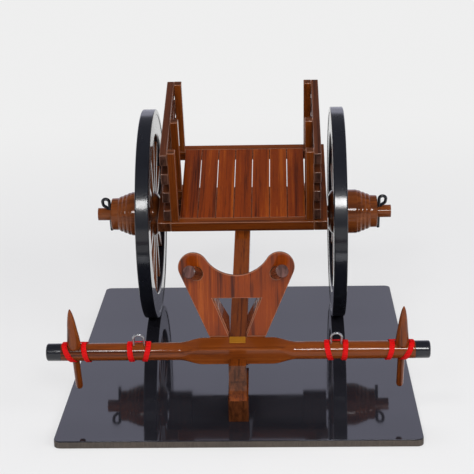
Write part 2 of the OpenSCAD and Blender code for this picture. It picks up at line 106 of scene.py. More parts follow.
def finish_mesh(name, bm, axis, rim_faces, seed, frame_matrix=LEVEL_TO_PARKED, sharp=34):
    """Makes the object, with the attributes that the wood materials read.

    grain holds each point's place along and across its own piece's grain, tone a shade of its
    own for each piece, rim the bevelled edges, where the wood materials paint a highlight, and end the faces that
    cut across the grain.
    axis is the grain's direction, or a function from a loose part's middle to that direction.
    sharp is the angle in degrees above which an edge stays sharp.
    """
    rng = random.Random(seed)
    bm.normal_update()
    number, count = loose_parts(bm)
    middles = [Vector() for _ in range(count)]
    sizes = [0] * count
    for vert in bm.verts:
        middles[number[vert.index]] += vert.co
        sizes[number[vert.index]] += 1
    bases = []
    shifts = []
    tones = []
    for middle, size in zip(middles, sizes):
        direction = axis(middle / size) if callable(axis) else axis
        bases.append(grain_basis(direction))
        shifts.append(Vector((rng.uniform(0, 9), rng.uniform(0, 9), rng.uniform(0, 9))))
        tones.append(rng.random())
    rim = {face.index for face in rim_faces if face.is_valid}
    grain = []
    tone = []
    for vert in bm.verts:
        part = number[vert.index]
        for direction, shift in zip(bases[part], shifts[part]):
            grain.append(vert.co.dot(direction) + shift)
        tone.append(tones[part])
    rims = []
    ends = []
    end_from, end_span = 0.75, 0.2             # cosines: where a face begins to count as an end
    for face in bm.faces:
        along = bases[number[face.verts[0].index]][0]
        facing = abs(face.normal.dot(along))
        rims.append(1.0 if face.index in rim else 0.0)
        ends.append(min(1.0, max(0.0, (facing - end_from) / end_span)))
    bm.transform(frame_matrix)
    me = bpy.data.meshes.new(name)
    bm.to_mesh(me)
    bm.free()
    store(me, "grain", "FLOAT_VECTOR", "POINT", grain)
    store(me, "tone", "FLOAT", "POINT", tone)
    store(me, "rim", "FLOAT", "FACE", rims)
    store(me, "end", "FLOAT", "FACE", ends)
    me.shade_smooth()
    me.set_sharp_from_angle(angle=math.radians(sharp))
    piece = bpy.data.objects.new(name, me)
    bpy.context.scene.collection.objects.link(piece)
    weighted = piece.modifiers.new("weighted", "WEIGHTED_NORMAL")
    weighted.keep_sharp = True
    return piece


def dress(piece, body, slot, material, *nodes):
    piece.data.materials.append(material)
    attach(piece, body)
    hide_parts(*nodes)


def eased(node, bevel, matrix=PARKED_TO_LEVEL):
    """A copy of a CAD node with its sharp edges rounded: (bmesh, the faces of the rounding)."""
    bm = bmesh.new()
    bm.from_mesh(frame["nodes"][node].data)
    bmesh.ops.remove_doubles(bm, verts=bm.verts, dist=0.002 * MM)
    bmesh.ops.dissolve_limit(bm, angle_limit=math.radians(0.5), verts=bm.verts, edges=bm.edges)
    bm.transform(matrix)
    crisp = [e for e in bm.edges if len(e.link_faces) == 2 and e.calc_face_angle() > math.radians(32)]
    made = bmesh.ops.bevel(bm, geom=crisp, offset=bevel, offset_type="OFFSET", segments=2,
                           profile=0.5, affect="EDGES", clamp_overlap=True)
    bm.faces.index_update()
    return bm, [f for f in made["faces"] if f.is_valid]


def lathe(profile, segments, centre, axis):
    """A profile of (radius, place along the axis) turned round X or Z, with its ends left open."""
    bm = bmesh.new()
    rings = []
    for radius, along in profile:
        ring = []
        for i in range(segments):
            a = 2 * math.pi * i / segments
            u, v = radius * math.cos(a), radius * math.sin(a)
            local = Vector((along, u, v)) if axis == "X" else Vector((u, v, along))
            ring.append(bm.verts.new(centre + local))
        rings.append(ring)
    for low, high in zip(rings, rings[1:]):
        for i in range(segments):
            j = (i + 1) % segments
            bm.faces.new((low[i], low[j], high[j], high[i]))
    return bm, rings


def close_ends(bm, rings):
    bm.faces.new(list(reversed(rings[0])))
    bm.faces.new(rings[-1])
    bmesh.ops.recalc_face_normals(bm, faces=bm.faces)


def close_round(bm, rings):
    """Joins the last ring to the first, for a hollow turned piece."""
    low, high = rings[-1], rings[0]
    for i in range(len(low)):
        j = (i + 1) % len(low)
        bm.faces.new((low[i], low[j], high[j], high[i]))
    bmesh.ops.recalc_face_normals(bm, faces=bm.faces)


def smooth_path(points, steps):
    """Catmull-Rom curve through the points."""
    padded = [2 * points[0] - points[1]] + points + [2 * points[-1] - points[-2]]
    path = []
    for a, b, c, d in zip(padded, padded[1:], padded[2:], padded[3:]):
        for k in range(steps):
            t = k / steps
            path.append(0.5 * (2 * b + (c - a) * t + (2 * a - 5 * b + 4 * c - d) * t * t
                               + (3 * b - a - 3 * c + d) * t ** 3))
    path.append(points[-1])
    return path


def sweep(bm, path, section, out=None, closed=False):
    """Sweeps a section of (sideways, outward) offsets along a path; out(point) points outward."""
    rings = []
    count = len(path)
    for i, point in enumerate(path):
        before = path[i - 1] if i or closed else path[0]
        after = path[(i + 1) % count] if closed or i + 1 < count else path[-1]
        tangent = (after - before).normalized()
        outward = out(point) if out else Vector((0, 1, 0))
        outward = (outward - tangent * outward.dot(tangent)).normalized()
        sideways = tangent.cross(outward)
        rings.append([bm.verts.new(point + sideways * s + outward * o) for s, o in section])
    size = len(section)
    pairs = list(zip(rings, rings[1:] + rings[:1])) if closed else list(zip(rings, rings[1:]))
    for low, high in pairs:
        for i in range(size):
            j = (i + 1) % size
            bm.faces.new((low[i], low[j], high[j], high[i]))
    if not closed:
        bm.faces.new(list(reversed(rings[0])))
        bm.faces.new(rings[-1])
    bmesh.ops.recalc_face_normals(bm, faces=bm.faces)


def round_section(radius, sides=14):
    return [(radius * math.cos(2 * math.pi * i / sides), radius * math.sin(2 * math.pi * i / sides))
            for i in range(sides)]


# ---- Material helpers ----

class Nodes:
    """Short calls for building a material's node tree."""

    def __init__(self, name):
        self.material = bpy.data.materials.new(name)
        self.material.use_nodes = True
        self.tree = self.material.node_tree
        self.shader = self.tree.nodes["Principled BSDF"]

    def add(self, kind, inputs=(), **settings):
        made = self.tree.nodes.new(kind)
        for key, value in settings.items():
            setattr(made, key, value)
        for key, value in dict(inputs).items():
            if isinstance(value, bpy.types.NodeSocket):
                self.tree.links.new(value, made.inputs[key])
            else:
                made.inputs[key].default_value = value
        return made

    def attribute(self, name, output):
        return self.add("ShaderNodeAttribute", attribute_name=name).outputs[output]

    def scaled(self, vector, scale):
        return self.add("ShaderNodeMapping", {"Vector": vector, "Scale": scale}).outputs[0]

    def noise(self, vector, scale, detail=3.0, roughness=0.55, distortion=0.0):
        return self.add("ShaderNodeTexNoise", {
            "Vector": self.scaled(vector, scale), "Scale": 1.0, "Detail": detail,
            "Roughness": roughness, "Distortion": distortion}).outputs["Fac"]

    def math(self, operation, a, b):
        return self.add("ShaderNodeMath", {0: a, 1: b}, operation=operation).outputs[0]

    def ramp(self, value, stops):
        made = self.add("ShaderNodeValToRGB", {"Fac": value})
        ramp = made.color_ramp
        while len(ramp.elements) < len(stops):
            ramp.elements.new(0.5)
        for element, (place, colour) in zip(ramp.elements, stops):
            element.position = place
            element.color = (*colour, 1)
        return made.outputs["Color"]

    def mix(self, factor, a, b):
        made = self.add("ShaderNodeMix", {0: factor}, data_type="RGBA")
        for key, value in ((6, a), (7, b)):
            if isinstance(value, bpy.types.NodeSocket):
                self.tree.links.new(value, made.inputs[key])
            else:
                made.inputs[key].default_value = (*value, 1)
        return made.outputs[2]

    def bump(self, height, strength, distance):
        return self.add("ShaderNodeBump", {"Height": height, "Strength": strength,
                                           "Distance": distance}).outputs[0]

    def link(self, output, socket):
        self.tree.links.new(output, self.shader.inputs[socket])

    def set(self, **values):
        for key, value in values.items():
            self.shader.inputs[key.replace("_", " ")].default_value = value


def grey(value):
    return (value, value, value)


def wood(name, dark, mid, light, edge, end):
    """Lacquered rosewood: stripes and fine pores along the grain under a thin clear coat, with a painted highlight
    in the edge colour on the bevelled edges.
    """
    n = Nodes(name)
    grain = n.attribute("grain", "Vector")
    stripes = n.noise(grain, (3.5, 150, 150), detail=4, roughness=0.6, distortion=0.4)
    veins = n.noise(grain, (8, 420, 420), detail=3, roughness=0.6, distortion=0.3)
    drift = n.noise(grain, (6, 34, 34), detail=2)
    fibres = n.noise(grain, (60, 1500, 1500), detail=2)
    value = n.math("MULTIPLY", stripes, 0.42)
    value = n.math("ADD", value, n.math("MULTIPLY", veins, 0.30))
    value = n.math("ADD", value, n.math("MULTIPLY", drift, 0.18))
    value = n.math("ADD", value, n.math("MULTIPLY", fibres, 0.10))
    shade = n.math("MULTIPLY", n.math("SUBTRACT", n.attribute("tone", "Fac"), 0.5), 0.05)
    value = n.math("ADD", value, shade)
    between = tuple(0.45 * a + 0.55 * b for a, b in zip(dark, mid))
    colour = n.ramp(value, [(0.40, dark), (0.455, between), (0.49, mid), (0.54, mid), (0.62, light)])
    pores = n.ramp(n.noise(grain, (120, 2400, 2400), detail=1), [(0.60, grey(0)), (0.70, grey(1))])
    colour = n.mix(n.math("MULTIPLY", pores, 0.35), colour, dark)
    rings = n.noise(grain, (0, 260, 90), detail=4, roughness=0.6, distortion=0.6)
    end_colour = n.ramp(rings, [(0.36, tuple(0.3 * e for e in end)), (0.62, end)])
    colour = n.mix(n.attribute("end", "Fac"), colour, end_colour)
    # painted highlight: the bevelled edges are lightened towards the edge colour, in place of their reflection of
    # the room
    colour = n.mix(n.math("MULTIPLY", n.attribute("rim", "Fac"), 0.6), colour, edge)
    n.link(colour, "Base Color")
    n.link(n.ramp(fibres, [(0.3, grey(0.40)), (0.7, grey(0.55))]), "Roughness")
    n.link(n.bump(n.math("SUBTRACT", fibres, pores), 0.2, 0.05 * MM), "Normal")
    n.link(n.bump(n.noise(grain, (60, 200, 200), detail=1), 0.10, 0.1 * MM), "Coat Normal")
    n.set(Specular_IOR_Level=0.05, Coat_Weight=1.0, Coat_Roughness=0.07, Coat_IOR=1.33)
    return n.material


def enamel(name, colour, roughness, peel):
    """Brushed gloss enamel with a faint orange peel and a little dust."""
    n = Nodes(name)
    place = n.add("ShaderNodeTexCoord").outputs["Object"]
    cloud = n.noise(place, (70, 70, 70), detail=4)
    dust = n.ramp(n.noise(place, (1500, 1500, 1500), detail=1), [(0.70, grey(0)), (0.78, grey(1))])
    n.link(n.mix(n.math("MULTIPLY", dust, 0.12), colour, grey(0.16)), "Base Color")
    n.link(n.ramp(cloud, [(0.3, grey(roughness)), (0.7, grey(roughness + 0.12))]), "Roughness")
    n.link(n.bump(n.noise(place, (260, 260, 260), detail=2), peel, 0.1 * MM), "Coat Normal")
    n.set(Specular_IOR_Level=0.2, Coat_Weight=1.0, Coat_Roughness=0.12, Coat_IOR=1.42)
    return n.material


def mirror_black(name):
    """The plinth's black gloss sheet: a mirror with faint smears."""
    n = Nodes(name)
    place = n.add("ShaderNodeTexCoord").outputs["Object"]
    smear = n.noise(place, (9, 14, 9), detail=4, distortion=1.5)
    n.link(n.mix(smear, (0.013, 0.0125, 0.017), (0.020, 0.020, 0.025)), "Base Color")
    n.link(n.ramp(smear, [(0.35, grey(0.03)), (0.75, grey(0.09))]), "Roughness")
    n.set(IOR=1.45, Specular_Tint=(0.85, 0.88, 1.0, 1))
    return n.material


def board_edge(name):
    """Sawn brown fibreboard: fine upright saw marks and a dusty, slightly fuzzy face."""
    n = Nodes(name)
    place = n.add("ShaderNodeTexCoord").outputs["Object"]
    saw = n.noise(place, (1500, 1500, 150), detail=4, roughness=0.7)
    cloud = n.noise(place, (35, 35, 35), detail=3)
    colour = n.ramp(saw, [(0.3, (0.036, 0.027, 0.020)), (0.55, (0.085, 0.066, 0.050)),
                          (0.8, (0.13, 0.11, 0.10))])
    n.link(n.mix(n.math("MULTIPLY", cloud, 0.5), colour, (0.05, 0.045, 0.045)), "Base Color")
    n.link(n.bump(saw, 0.5, 0.2 * MM), "Normal")
    n.set(Roughness=0.75)
    return n.material


def metal(name, colour, roughness, scratch, metallic=1.0):
    """Drawn wire or sheet with a cloudy tarnish and fine scratches."""
    n = Nodes(name)
    place = n.add("ShaderNodeTexCoord").outputs["Object"]
    tarnish = n.noise(place, (400, 400, 400), detail=4)
    n.link(n.mix(tarnish, tuple(0.6 * c for c in colour), colour), "Base Color")
    n.link(n.ramp(tarnish, [(0.3, grey(roughness)), (0.7, grey(roughness + 0.2))]), "Roughness")
    n.link(n.bump(n.noise(place, (900, 900, 90)), scratch, 0.05 * MM), "Normal")
    n.set(Metallic=metallic)
    return n.material


def cotton_tape(name):
    """Woven red cotton tape: crossing threads in the tape's own directions, with a soft sheen."""
    n = Nodes(name)
    grain = n.attribute("grain", "Vector")
    warp = n.add("ShaderNodeTexWave", {"Vector": n.scaled(grain, (0, 700, 0)), "Scale": 1.0},
                 bands_direction="Y").outputs["Fac"]
    weft = n.add("ShaderNodeTexWave", {"Vector": n.scaled(grain, (700, 0, 0)), "Scale": 1.0},
                 bands_direction="X").outputs["Fac"]
    weave = n.math("MULTIPLY", warp, weft)
    cloud = n.noise(grain, (150, 150, 150))
    colour = n.mix(weave, (0.45, 0.001, 0.002), (0.85, 0.003, 0.002))
    n.link(n.mix(n.math("MULTIPLY", cloud, 0.5), colour, (0.62, 0.002, 0.002)), "Base Color")
    n.link(n.bump(weave, 0.6, 0.15 * MM), "Normal")
    n.set(Roughness=0.7, Specular_IOR_Level=0.2)
    return n.material


# In these woods, edge is a painted highlight laid on the bevelled edges, and end is the end grain's own darker
# colour.
ORANGE = wood("orange_lacquered_wood", dark=(0.050, 0.008, 0.0015), mid=(0.200, 0.031, 0.0012),
              light=(0.33, 0.068, 0.004), edge=(0.36, 0.16, 0.09), end=(0.085, 0.028, 0.013))
LACQUER = wood("lacquered_wood", dark=(0.050, 0.011, 0.003), mid=(0.165, 0.036, 0.0045),
               light=(0.25, 0.066, 0.011), edge=(0.32, 0.15, 0.09), end=(0.125, 0.036, 0.011))
TURNED = wood("turned_wood", dark=(0.105, 0.026, 0.006), mid=(0.195, 0.050, 0.010),
              light=(0.28, 0.085, 0.020), edge=(0.32, 0.15, 0.09), end=(0.105, 0.032, 0.012))
DARK_TONES = {"dark": (0.020, 0.006, 0.003), "mid": (0.080, 0.022, 0.008),
              "light": (0.15, 0.045, 0.016), "edge": (0.22, 0.11, 0.075)}
BROWN = wood("dark_wood", end=(0.085, 0.036, 0.024), **DARK_TONES)
PEG = wood("peg_wood", end=(0.15, 0.075, 0.065), **DARK_TONES)
BLACK = enamel("black_enamel", (0.008, 0.009, 0.013), 0.25, 0.35)
MIRROR = mirror_black("plinth_gloss")
SAWN = board_edge("plinth_edge")
WIRE = metal("steel_wire", (0.62, 0.62, 0.64), 0.22, 0.15)
BRASS = metal("brass", (0.48, 0.19, 0.006), 0.40, 0.1, 0.35)
TAPE = cotton_tape("red_tape")


# ---- Plinth ----

def make_plinth():
    for node, slot, material, bevel in (("plinth_board", "plinth_wood", SAWN, 0.3 * MM),
                                        ("plinth_top", "plinth_gloss", MIRROR, 0.35 * MM)):
        bm, rim = eased(node, bevel, AS_IT_IS)
        piece = finish_mesh(node + "_slab", bm, (1, 0, 0), rim, 1, AS_IT_IS)
        dress(piece, "cart", slot, material, node)


# ---- Wooden pieces that keep their CAD shape, with eased edges ----

POLE_BEND = 58 * MM                            # the bed's front, ahead of the axle: the pole rises here
POLE_RISE = math.atan2(level_box("pole")[1].z - level_box("side_beam_left")[0].z,
                       -level_box("yoke_beam")[0].y - POLE_BEND)

# columns: node, grain direction in the level frame, edge rounding in mm, material
EASED = [
    ("pole", (0, -math.cos(POLE_RISE / 2), math.sin(POLE_RISE / 2)), 0.9, LACQUER),
    ("front_board", (0, 0.4, 0.9), 0.6, ORANGE),
    ("cheek_left", (-0.4, 0, 0.9), 0.6, ORANGE),
    ("cheek_right", (0.4, 0, 0.9), 0.6, ORANGE),
    ("side_beam_left", (0, 1, 0), 0.7, LACQUER),
    ("side_beam_right", (0, 1, 0), 0.7, LACQUER),
    ("front_cross_beam", (1, 0, 0), 0.6, LACQUER),
    ("rear_cross_beam", (1, 0, 0), 0.6, LACQUER),
    ("bed_bearer", (1, 0, 0), 0.4, LACQUER),
    ("floor_planks", (0, 1, 0), 0.25, ORANGE),
    ("posts_left", (0, 0, 1), 0.6, LACQUER),
    ("posts_right", (0, 0, 1), 0.6, LACQUER),
    ("rails_left", (0, 1, 0), 0.7, BROWN),
    ("rails_right", (0, 1, 0), 0.7, BROWN),
    ("axle_beam", (1, 0, 0), 0.5, BROWN),
    ("bolster_left", (0, 0, 1), 0.8, BROWN),
    ("bolster_right", (0, 0, 1), 0.8, BROWN),
    ("axle_left", (1, 0, 0), 0.5, TURNED),
    ("axle_right", (1, 0, 0), 0.5, TURNED),
]
SLOTS = {ORANGE: "lacquered_wood", LACQUER: "lacquered_wood", TURNED: "lacquered_wood",
         BROWN: "dark_wood"}


def make_eased():
    for seed, (node, axis, bevel, material) in enumerate(EASED):
        bm, rim = eased(node, bevel * MM)
        piece = finish_mesh(node + "_wood", bm, axis, rim, seed)
        dress(piece, "cart", SLOTS[material], material, node)


# ---- Front board pegs ----

def make_pegs():
    for seed, side in enumerate(SIDES):
        node = "board_peg_" + side
        points = level_points(node)
        middle = sum(points, Vector()) / len(points)
        far = max(points, key=lambda p: (p - middle).length)
        front = [p for p in points if p.y < middle.y]
        back = [p for p in points if p.y >= middle.y]
        axis = (sum(front, Vector()) / len(front) - sum(back, Vector()) / len(back)).normalized()
        half = max(abs((p - middle).dot(axis)) for p in points)
        radius = math.sqrt(max(0.0, (far - middle).length ** 2 - half ** 2))
        soft = 0.9 * MM                        # rounding of the ends
        profile = [(radius - soft, -half), (radius, -half + soft), (radius, half - soft),
                   (radius - 0.3 * soft, half - 0.3 * soft), (radius - soft, half)]
        bm, rings = lathe(profile, 40, Vector(), "Z")
        close_ends(bm, rings)
        bm.transform(Matrix.Translation(middle) @ axis.to_track_quat("Z", "Y").to_matrix().to_4x4())
        piece = finish_mesh(f"peg_{side}_turned", bm, tuple(axis), (), 40 + seed)
        dress(piece, "cart", "dark_wood", PEG, node)


# ---- Yoke ----

def make_yoke():
    low, high = level_box("yoke_beam")
    cap_low, cap_high = level_box("yoke_cap_left")
    centre = (low + high) / 2
    arm_r = (cap_high.z - cap_low.z) / 2
    half_d, half_h = (high.y - low.y) / 2, (high.z - low.z) / 2
    flat, blend = 29 * MM, 20 * MM             # half length of the square middle, length of its swoop
    blend_steps, arm_steps, corner_steps = 16, 6, 12
    arm = high.x - flat - blend
    places = [0, 0.5 * flat, flat] + [flat + blend * k / blend_steps for k in range(1, blend_steps + 1)]
    places += [flat + blend + arm * k / arm_steps for k in range(1, arm_steps + 1)]
    places = [-x for x in reversed(places[1:])] + places
    edge = 0.5 * MM                            # rounding of the square middle's edges
    bm = bmesh.new()
    rings = []
    for x in places:
        t = min(1.0, max(0.0, (abs(x) - flat) / blend))
        t = t * t * (3 - 2 * t)
        a, b = half_d + (arm_r - half_d) * t, half_h + (arm_r - half_h) * t
        soft = edge + (arm_r - edge) * t
        ring = []
        for corner in range(4):
            right, up = (1, -1, -1, 1)[corner], (1, 1, -1, -1)[corner]
            for k in range(corner_steps + 1):
                angle = math.pi / 2 * (corner + k / corner_steps)
                ring.append(bm.verts.new((x, centre.y + right * (a - soft) + soft * math.cos(angle),
                                          centre.z + up * (b - soft) + soft * math.sin(angle))))
        rings.append(ring)
    for near, far in zip(rings, rings[1:]):
        for i in range(len(near)):
            j = (i + 1) % len(near)
            bm.faces.new((near[i], near[j], far[j], far[i]))
    close_ends(bm, rings)
    bmesh.ops.remove_doubles(bm, verts=bm.verts, dist=0.001 * MM)
    piece = finish_mesh("yoke_beam_shaped", bm, (1, 0, 0), (), 50, sharp=60)
    dress(piece, "cart", "lacquered_wood", LACQUER, "yoke_beam")


def make_yoke_caps():
    end_round, seam_round = 1.8 * MM, 0.3 * MM
    steps = 6
    for side, sign in SIDES.items():
        node = "yoke_cap_" + side
        low, high = level_box(node)
        centre = (low + high) / 2
        half = (high.x - low.x) / 2
        radius = (high.z - low.z) / 2
        profile = [(radius * 0.98, -half), (radius, -half + seam_round)]
        for k in range(steps + 1):
            a = math.pi / 2 * k / steps
            profile.append((radius - end_round * (1 - math.cos(a)), half - end_round * (1 - math.sin(a))))
        bm, rings = lathe([(r, x * sign) for r, x in profile], 64, centre, "X")
        close_ends(bm, rings)
        piece = finish_mesh(node + "_painted", bm, (1, 0, 0), (), 52)
        dress(piece, "cart", "black_paint", BLACK, node)


def make_yoke_pins():
    """Spear-headed pins, whose heads stand on the yoke."""
    seat_share = 0.84                          # the heads' foot, as a share of the arm's radius
    # columns: share of the head's radius, share of its length
    head = [(0.96, 0), (0.995, 0.015), (1.0, 0.05), (0.985, 0.12), (0.94, 0.2), (0.855, 0.32),
            (0.76, 0.43), (0.675, 0.55), (0.6, 0.65), (0.48, 0.77), (0.34, 0.88), (0.2, 0.95),
            (0.1, 0.985), (0.03, 0.998)]
    for seed, side in enumerate(SIDES):
        node = "yoke_pin_" + side
        low, high = level_box(node)
        yoke_low, yoke_high = level_box("yoke_beam")
        cap_low, cap_high = level_box("yoke_cap_left")
        seat = (yoke_low.z + yoke_high.z) / 2 + seat_share * (cap_high.z - cap_low.z) / 2
        centre = Vector(((low.x + high.x) / 2, (low.y + high.y) / 2, 0))
        head_r = (high.x - low.x) / 2
        stem_r = max(p.x - centre.x for p in level_points(node) if p.z < yoke_low.z)
        profile = [(stem_r * 0.45, low.z), (stem_r * 0.8, low.z + 0.3 * stem_r),
                   (stem_r, low.z + 0.9 * stem_r), (stem_r, seat)]
        profile += [(head_r * r, seat + (high.z - seat) * z) for r, z in head]
        bm, rings = lathe(profile, 40, centre, "Z")
        close_ends(bm, rings)
        piece = finish_mesh(node + "_turned", bm, (0, 0, 1), (), 55 + seed, sharp=50)
        dress(piece, "cart", "lacquered_wood", LACQUER, node)


def make_rein_loops():
    steps = 24
    for side in SIDES:
        node = "rein_loop_" + side
        low, high = level_box(node)
        wire = (high.y - low.y) / 2
        x, y = (low.x + high.x) / 2, (low.y + high.y) / 2
        half = (high.x - low.x) / 2 - wire
        spring = high.z - wire - half
        path = [Vector((x - half, y, low.z))]
        for k in range(steps + 1):
            a = math.pi * (1 - k / steps)
            path.append(Vector((x + half * math.cos(a), y, spring + half * math.sin(a))))
        path.append(Vector((x + half, y, low.z)))
        bm = bmesh.new()
        sweep(bm, path, round_section(wire))
        piece = finish_mesh(node + "_bent", bm, (1, 0, 0), (), 60)
        dress(piece, "cart", "wire", WIRE, node)


def tape_section(width, thickness):
    """A flat band with softened edges, as (sideways, outward) offsets."""
    half, t = width / 2, thickness
    return [(-half, 0.15 * t), (-half, 0.7 * t), (-half + 0.25 * t, t), (half - 0.25 * t, t),
            (half, 0.7 * t), (half, 0.15 * t), (half - 0.2 * t, 0), (-half + 0.2 * t, 0)]


# Turns of tape, measured along the yoke from what they tie, outward positive.
# columns: node they tie, place on the yoke's top in mm, place on its underside in mm
TAPE_TURNS = [
    ("yoke_pin_", 7.7, -0.9),
    ("yoke_pin_", -7.7, -11.6),
    ("rein_loop_", 7.5, 5.5),
    ("rein_loop_", -7.5, -3.2),
]


def make_ties():
    """Slanted turns of red tape round the yoke, with a band behind each pin and each rein loop."""
    cap_low, cap_high = level_box("yoke_cap_left")
    yoke_low, yoke_high = level_box("yoke_beam")
    arm_r = (cap_high.z - cap_low.z) / 2
    y0, z0 = (yoke_low.y + yoke_high.y) / 2, (yoke_low.z + yoke_high.z) / 2
    wide = 3.8 * MM
    clear = 0.05 * MM                          # between the tape and the wood
    stagger = 0.7 * MM                         # how far the upper layer lies beside the lower
    steps = 48

    def outward(point):
        return Vector((0, point.y - y0, point.z - z0))

    for side, sign in SIDES.items():
        node = "yoke_ties_" + side
        low, high = level_box(node)
        thick = (high.z - low.z) / 2 - arm_r
        bm = bmesh.new()
        for held, top, under in TAPE_TURNS:
            held_low, held_high = level_box(held + side)
            middle = (held_low.x + held_high.x) / 2
            for layer in range(2):
                path = []
                for k in range(steps):
                    a = 2 * math.pi * k / steps
                    share = (1 + math.cos(a)) / 2
                    along = (share * top + (1 - share) * under) * MM
                    x = middle + sign * (along + layer * stagger * math.copysign(1, top))
                    r = arm_r + clear + layer * 0.5 * thick
                    path.append(Vector((x, y0 - r * math.sin(a), z0 + r * math.cos(a))))
                sweep(bm, path, tape_section(wide, 0.5 * thick), outward, closed=True)
            if top > 0:
                behind = math.radians(38)      # round the yoke from its top to its back
                rise = arm_r + 0.3 * thick
                bridge = [Vector((middle + k / 4 * top * MM, y0 + rise * math.sin(behind),
                                  z0 + rise * math.cos(behind))) for k in range(-4, 5)]
                sweep(bm, bridge, tape_section(wide, 0.7 * thick), outward)
        piece = finish_mesh(node + "_tape", bm, (0, 0, 1), (), 64)
        dress(piece, "cart", "red_tape", TAPE, node)


def make_strap():
    bm, rim = eased("yoke_strap", 0.25 * MM)
    piece = finish_mesh("yoke_strap_brass", bm, (1, 0, 0), rim, 66)
    dress(piece, "cart", "brass", BRASS, "yoke_strap")


# ---- Linchpins ----

def make_linchpins():
    """Rods with an eye bent at the top, whose end comes back to the rod below the eye."""
    eye_sides = 4.2 * MM                       # length of the eye's straight sides
    steps = 8
    for side, sign in SIDES.items():
        node = "linchpin_" + side
        low, high = level_box(node)
        rod = (high.y - low.y) / 2
        inner = (low.x if sign > 0 else high.x) + sign * rod
        outer = (high.x if sign > 0 else low.x) - sign * rod
        half = abs(outer - inner) / 2
        middle = (inner + outer) / 2
        top = high.z - rod - half
        foot = top - eye_sides

        def at(x, z):
            return Vector((x, (low.y + high.y) / 2, z))

        path = [at(inner, low.z), at(inner, 0), at(inner, foot - half), at(inner, foot), at(inner, top)]
        for k in range(1, steps):
            a = math.pi * (1 - k / steps)
            path.append(at(middle + sign * half * math.cos(a), top + half * math.sin(a)))
        path += [at(outer, top), at(outer - sign * 0.2 * half, foot), at(middle, foot - 0.75 * half),
                 at(inner + sign * 1.2 * rod, foot - 1.25 * half)]
        bm = bmesh.new()
        sweep(bm, smooth_path(path, 4), round_section(rod))
        piece = finish_mesh(node + "_bent", bm, (0, 0, 1), (), 70)
        dress(piece, "cart", "black_paint", BLACK, node)


# ---- Wheels ----

def rounded_ring(inner, outer, half, soft_in, soft_out, steps=4):
    """The closed profile of a ring with rounded edges, as (radius, place along the axle)."""
    corners = [(outer, half, soft_out, 1, 1), (outer, -half, soft_out, 1, -1),
               (inner, -half, soft_in, -1, -1), (inner, half, soft_in, -1, 1)]
    profile = []
    for radius, x, soft, out, along in corners:
        arc = []
        for k in range(steps + 1):
            a = math.pi / 2 * k / steps
            arc.append((radius - out * soft * (1 - math.sin(a)), x - along * soft * (1 - math.cos(a))))
        if out * along < 0:
            arc.reverse()
        profile += arc
    return profile


def hub_profile():
    """The turned outline of a hub: share of its length from the inner end, share of its radius."""
    outline = [(0.0, 0.66), (0.004, 0.72), (0.02, 0.78), (0.04, 0.87), (0.07, 0.955), (0.10, 0.985),
               (0.14, 1.0), (0.56, 1.0), (0.585, 0.992), (0.60, 0.972), (0.606, 0.966)]
    start, radius = outline[-1]
    width, fall, bulge = 0.083, 0.074, 0.026   # of each rounded ring down the slope
    steps = 8
    for ring in range(3):
        for k in range(1, steps + 1):
            share = k / steps
            outline.append((start + ring * width + width * share,
                            radius - fall * (ring + share) + bulge * math.sin(math.pi * share)))
    return outline + [(0.858, 0.736), (0.866, 0.732), (0.875, 0.736), (0.975, 0.728), (0.992, 0.718),
                      (1.0, 0.69)]


def make_wheel(side, sign):
    running_fit = 0.06 * MM                    # between the hub's bore and the stub
    segments = 192
    body = "wheel_" + side
    tyre_low, tyre_high = level_box("tyre_" + side)
    felloe_low, felloe_high = level_box("felloe_" + side)
    hub_low, hub_high = level_box("hub_" + side)
    centre = (tyre_low + tyre_high) / 2
    tyre_r, felloe_r, hub_r = ((h.z - l.z) / 2 for l, h in
                               ((tyre_low, tyre_high), (felloe_low, felloe_high), (hub_low, hub_high)))
    felloe_in = max(math.hypot(p.y - centre.y, p.z - centre.z) for p in level_points("spokes_" + side))

    half = (tyre_high.x - tyre_low.x) / 2
    bm, rings = lathe(rounded_ring(felloe_r, tyre_r, half, 0.3 * MM, 1.2 * MM), segments, centre, "X")
    close_round(bm, rings)
    dress(finish_mesh(f"tyre_{side}_painted", bm, (1, 0, 0), (), 80), body, "black_paint", BLACK,
          "tyre_" + side)

    half = (felloe_high.x - felloe_low.x) / 2
    bm, rings = lathe(rounded_ring(felloe_in, felloe_r, half, 1.6 * MM, 0.2 * MM), segments, centre, "X")
    close_round(bm, rings)
    dress(finish_mesh(f"felloe_{side}_painted", bm, (1, 0, 0), (), 82), body, "black_paint", BLACK,
          "felloe_" + side)

    bm, rim = eased("spokes_" + side, 1.1 * MM)

    def outward(middle):
        return middle - Vector((middle.x, centre.y, centre.z))

    dress(finish_mesh(f"spokes_{side}_shaped", bm, outward, rim, 84), body, "lacquered_wood", LACQUER,
          "spokes_" + side)

    inner, outer = (hub_low.x, hub_high.x) if sign > 0 else (hub_high.x, hub_low.x)
    axle_low, axle_high = level_box("axle_" + side)
    bore = (axle_high.z - axle_low.z) / 2 + running_fit
    profile = [(bore, inner)] + [(hub_r * r, inner + (outer - inner) * t) for t, r in hub_profile()]
    profile += [(bore, outer)]
    bm, rings = lathe(profile, 96, Vector((0, centre.y, centre.z)), "X")
    close_round(bm, rings)
    dress(finish_mesh(f"hub_{side}_turned", bm, (1, 0, 0), (), 86, sharp=40), body, "lacquered_wood",
          TURNED, "hub_" + side)


# ---- Studio ----

BACKDROP = (0.86, 0.86, 0.86, 1)


